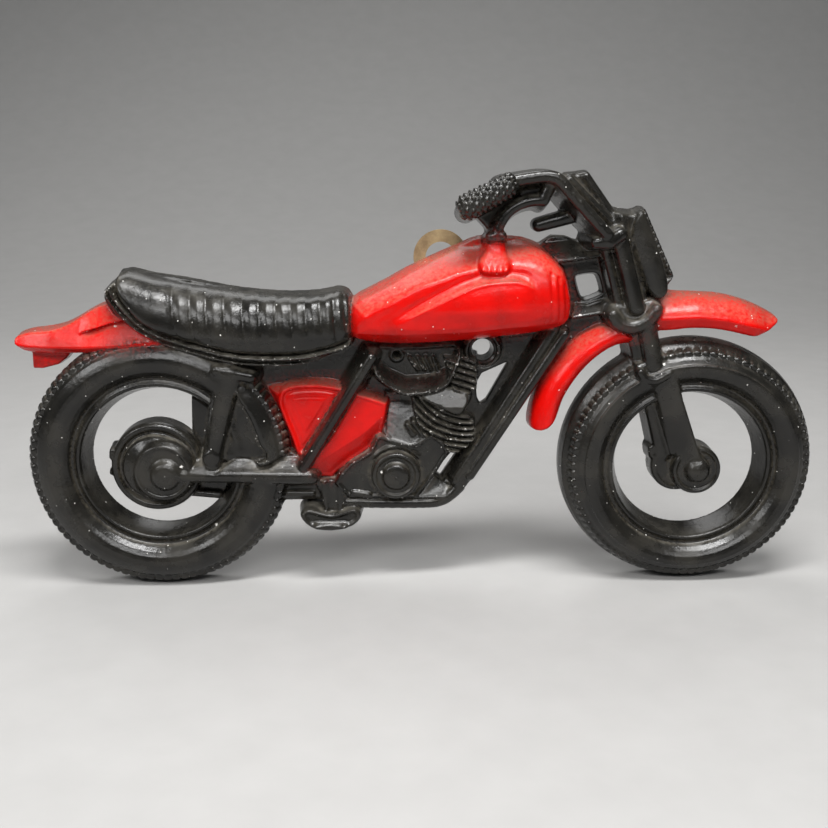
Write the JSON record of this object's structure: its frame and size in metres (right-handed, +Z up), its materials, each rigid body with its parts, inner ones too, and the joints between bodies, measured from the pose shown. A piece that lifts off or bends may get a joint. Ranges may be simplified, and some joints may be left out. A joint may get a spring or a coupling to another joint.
{
  "type": "motorcycle wall plaque",
  "caption": "Painted cast-metal relief of a dirt motorcycle that hangs on a wall by a riveted ring hanger or leans on a shelf on its tyres",
  "frame": {"origin": "centre of the outer box in plan, at the lowest point of the tyres", "axes": "+X towards the front wheel, +Z up, relief faces -Y, wall side +Y"},
  "size_m": [0.2658, 0.024, 0.14],
  "materials": {
    "black_paint": "semi-gloss black enamel on cast metal",
    "red_paint": "gloss red enamel with black overspray at the edges",
    "old_brass": "dull aged sheet brass"
  },
  "bodies": {
    "casting": {"rear_tyre": "black_paint", "rear_tread": "black_paint", "rear_rim": "black_paint", "rear_sprocket": "black_paint", "rear_hub_web": "black_paint", "swing_arm": "black_paint", "arm_gusset": "black_paint", "lower_rail": "black_paint", "shock_body": "black_paint", "shock_mount": "black_paint", "rear_fender": "red_paint", "tail_lug": "red_paint", "seat_base": "black_paint", "seat_cushion": "black_paint", "fuel_tank": "red_paint", "tank_panel": "red_paint", "filler_cap": "red_paint", "side_cover_rear": "red_paint", "side_cover_front": "red_paint", "side_web": "black_paint", "diagonal_tube": "black_paint", "down_tube": "black_paint", "cradle_tube": "black_paint", "engine_web": "black_paint", "crankcase": "black_paint", "clutch_cover": "black_paint", "intake_block": "black_paint", "cylinder_barrel": "black_paint", "cylinder_head": "black_paint", "air_cleaner": "black_paint", "coil_ring": "black_paint", "stand_stem": "black_paint", "stand_pad": "black_paint", "neck_web": "black_paint", "fork_tube_near": "black_paint", "fork_tube_far": "black_paint", "upper_clamp": "black_paint", "lower_clamp": "black_paint", "stanchion": "black_paint", "fork_collar": "black_paint", "fork_leg_near": "black_paint", "fork_leg_far": "black_paint", "front_hub": "black_paint", "brake_plate": "black_paint", "front_tyre": "black_paint", "front_tread": "black_paint", "front_rim": "black_paint", "front_fender": "red_paint", "front_mudflap": "red_paint", "headlight_shell": "black_paint", "headlight_lens": "black_paint", "handlebar": "black_paint", "bar_far": "black_paint", "bar_clamp": "black_paint", "grip_near": "black_paint", "lever": "black_paint", "grip_far": "black_paint", "hanger_rivet": "old_brass"},
    "hanger": {"hanger": "old_brass"}
  },
  "joints": [
    {"name": "hanger_pivot", "type": "hinge", "parent": "casting", "child": "hanger", "pos_m": [0.00655, 0.0104, 0.0982], "axis": [0, 1, 0], "continuous": true}
  ]
}
